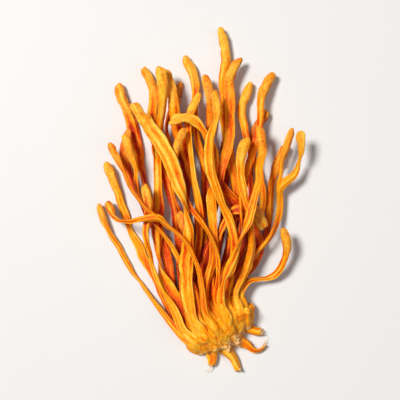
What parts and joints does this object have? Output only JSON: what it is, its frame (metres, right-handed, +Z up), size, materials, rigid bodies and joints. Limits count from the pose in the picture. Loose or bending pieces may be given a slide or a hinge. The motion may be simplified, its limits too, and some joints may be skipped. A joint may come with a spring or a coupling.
{
  "type": "dried cordyceps tuft",
  "caption": "Tuft of dried orange cordyceps: flattened, twisted stems with club heads, grown together at one torn base, lying on its side.",
  "frame": {"origin": "centre of the flat patch under the base, which lies on the surface", "axes": "+Y from the base towards the heads, +Z up from the surface, +X to the right as seen from above"},
  "size_m": [0.073, 0.1213, 0.0192],
  "materials": {
    "stem": "matte dried flesh, faintly waxy on the ridges",
    "base": "matte, torn and fibrous"
  },
  "bodies": {
    "root": {"base": "base", "stem_01": "stem", "stem_02": "stem", "stem_03": "stem", "stem_04": "stem", "stem_05": "stem", "stem_06": "stem", "stem_07": "stem", "stem_08": "stem", "stem_09": "stem", "stem_10": "stem", "stem_11": "stem", "stem_12": "stem", "stem_13": "stem", "stem_14": "stem", "stem_15": "stem", "stem_16": "stem", "stem_17": "stem", "stem_18": "stem", "stem_19": "stem", "stem_20": "stem", "stem_21": "stem", "stem_22": "stem", "stem_23": "stem", "stem_24": "stem", "stem_25": "stem", "stem_26": "stem", "stem_27": "stem", "stem_28": "stem", "stem_29": "stem", "stem_30": "stem", "stem_31": "stem", "stem_32": "stem", "stem_33": "stem", "branch_01": "stem", "branch_02": "stem", "stub_01": "stem", "stub_02": "stem", "stub_03": "stem", "stub_04": "stem"}
  },
  "joints": []
}
